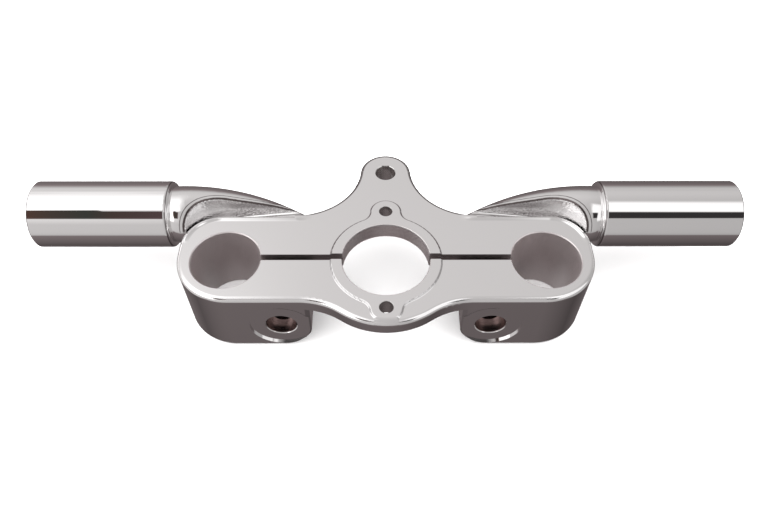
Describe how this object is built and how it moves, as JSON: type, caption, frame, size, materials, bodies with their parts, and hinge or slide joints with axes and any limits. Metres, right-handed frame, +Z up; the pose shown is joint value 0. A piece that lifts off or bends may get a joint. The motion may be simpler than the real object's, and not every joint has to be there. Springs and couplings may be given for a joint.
{
  "type": "motorcycle triple clamp",
  "caption": "One-piece chromed motorcycle triple clamp with slit fork clamps, a raised pad round the steering bore, a rear tab and a round stub at each side.",
  "frame": {"origin": "steering bore centre at the plate's top face", "axes": "+Z up, +X right"},
  "size_m": [0.43, 0.1313, 0.0639],
  "materials": {
    "chrome": "polished"
  },
  "bodies": {
    "root": {"clamp_body": "chrome"}
  },
  "joints": []
}
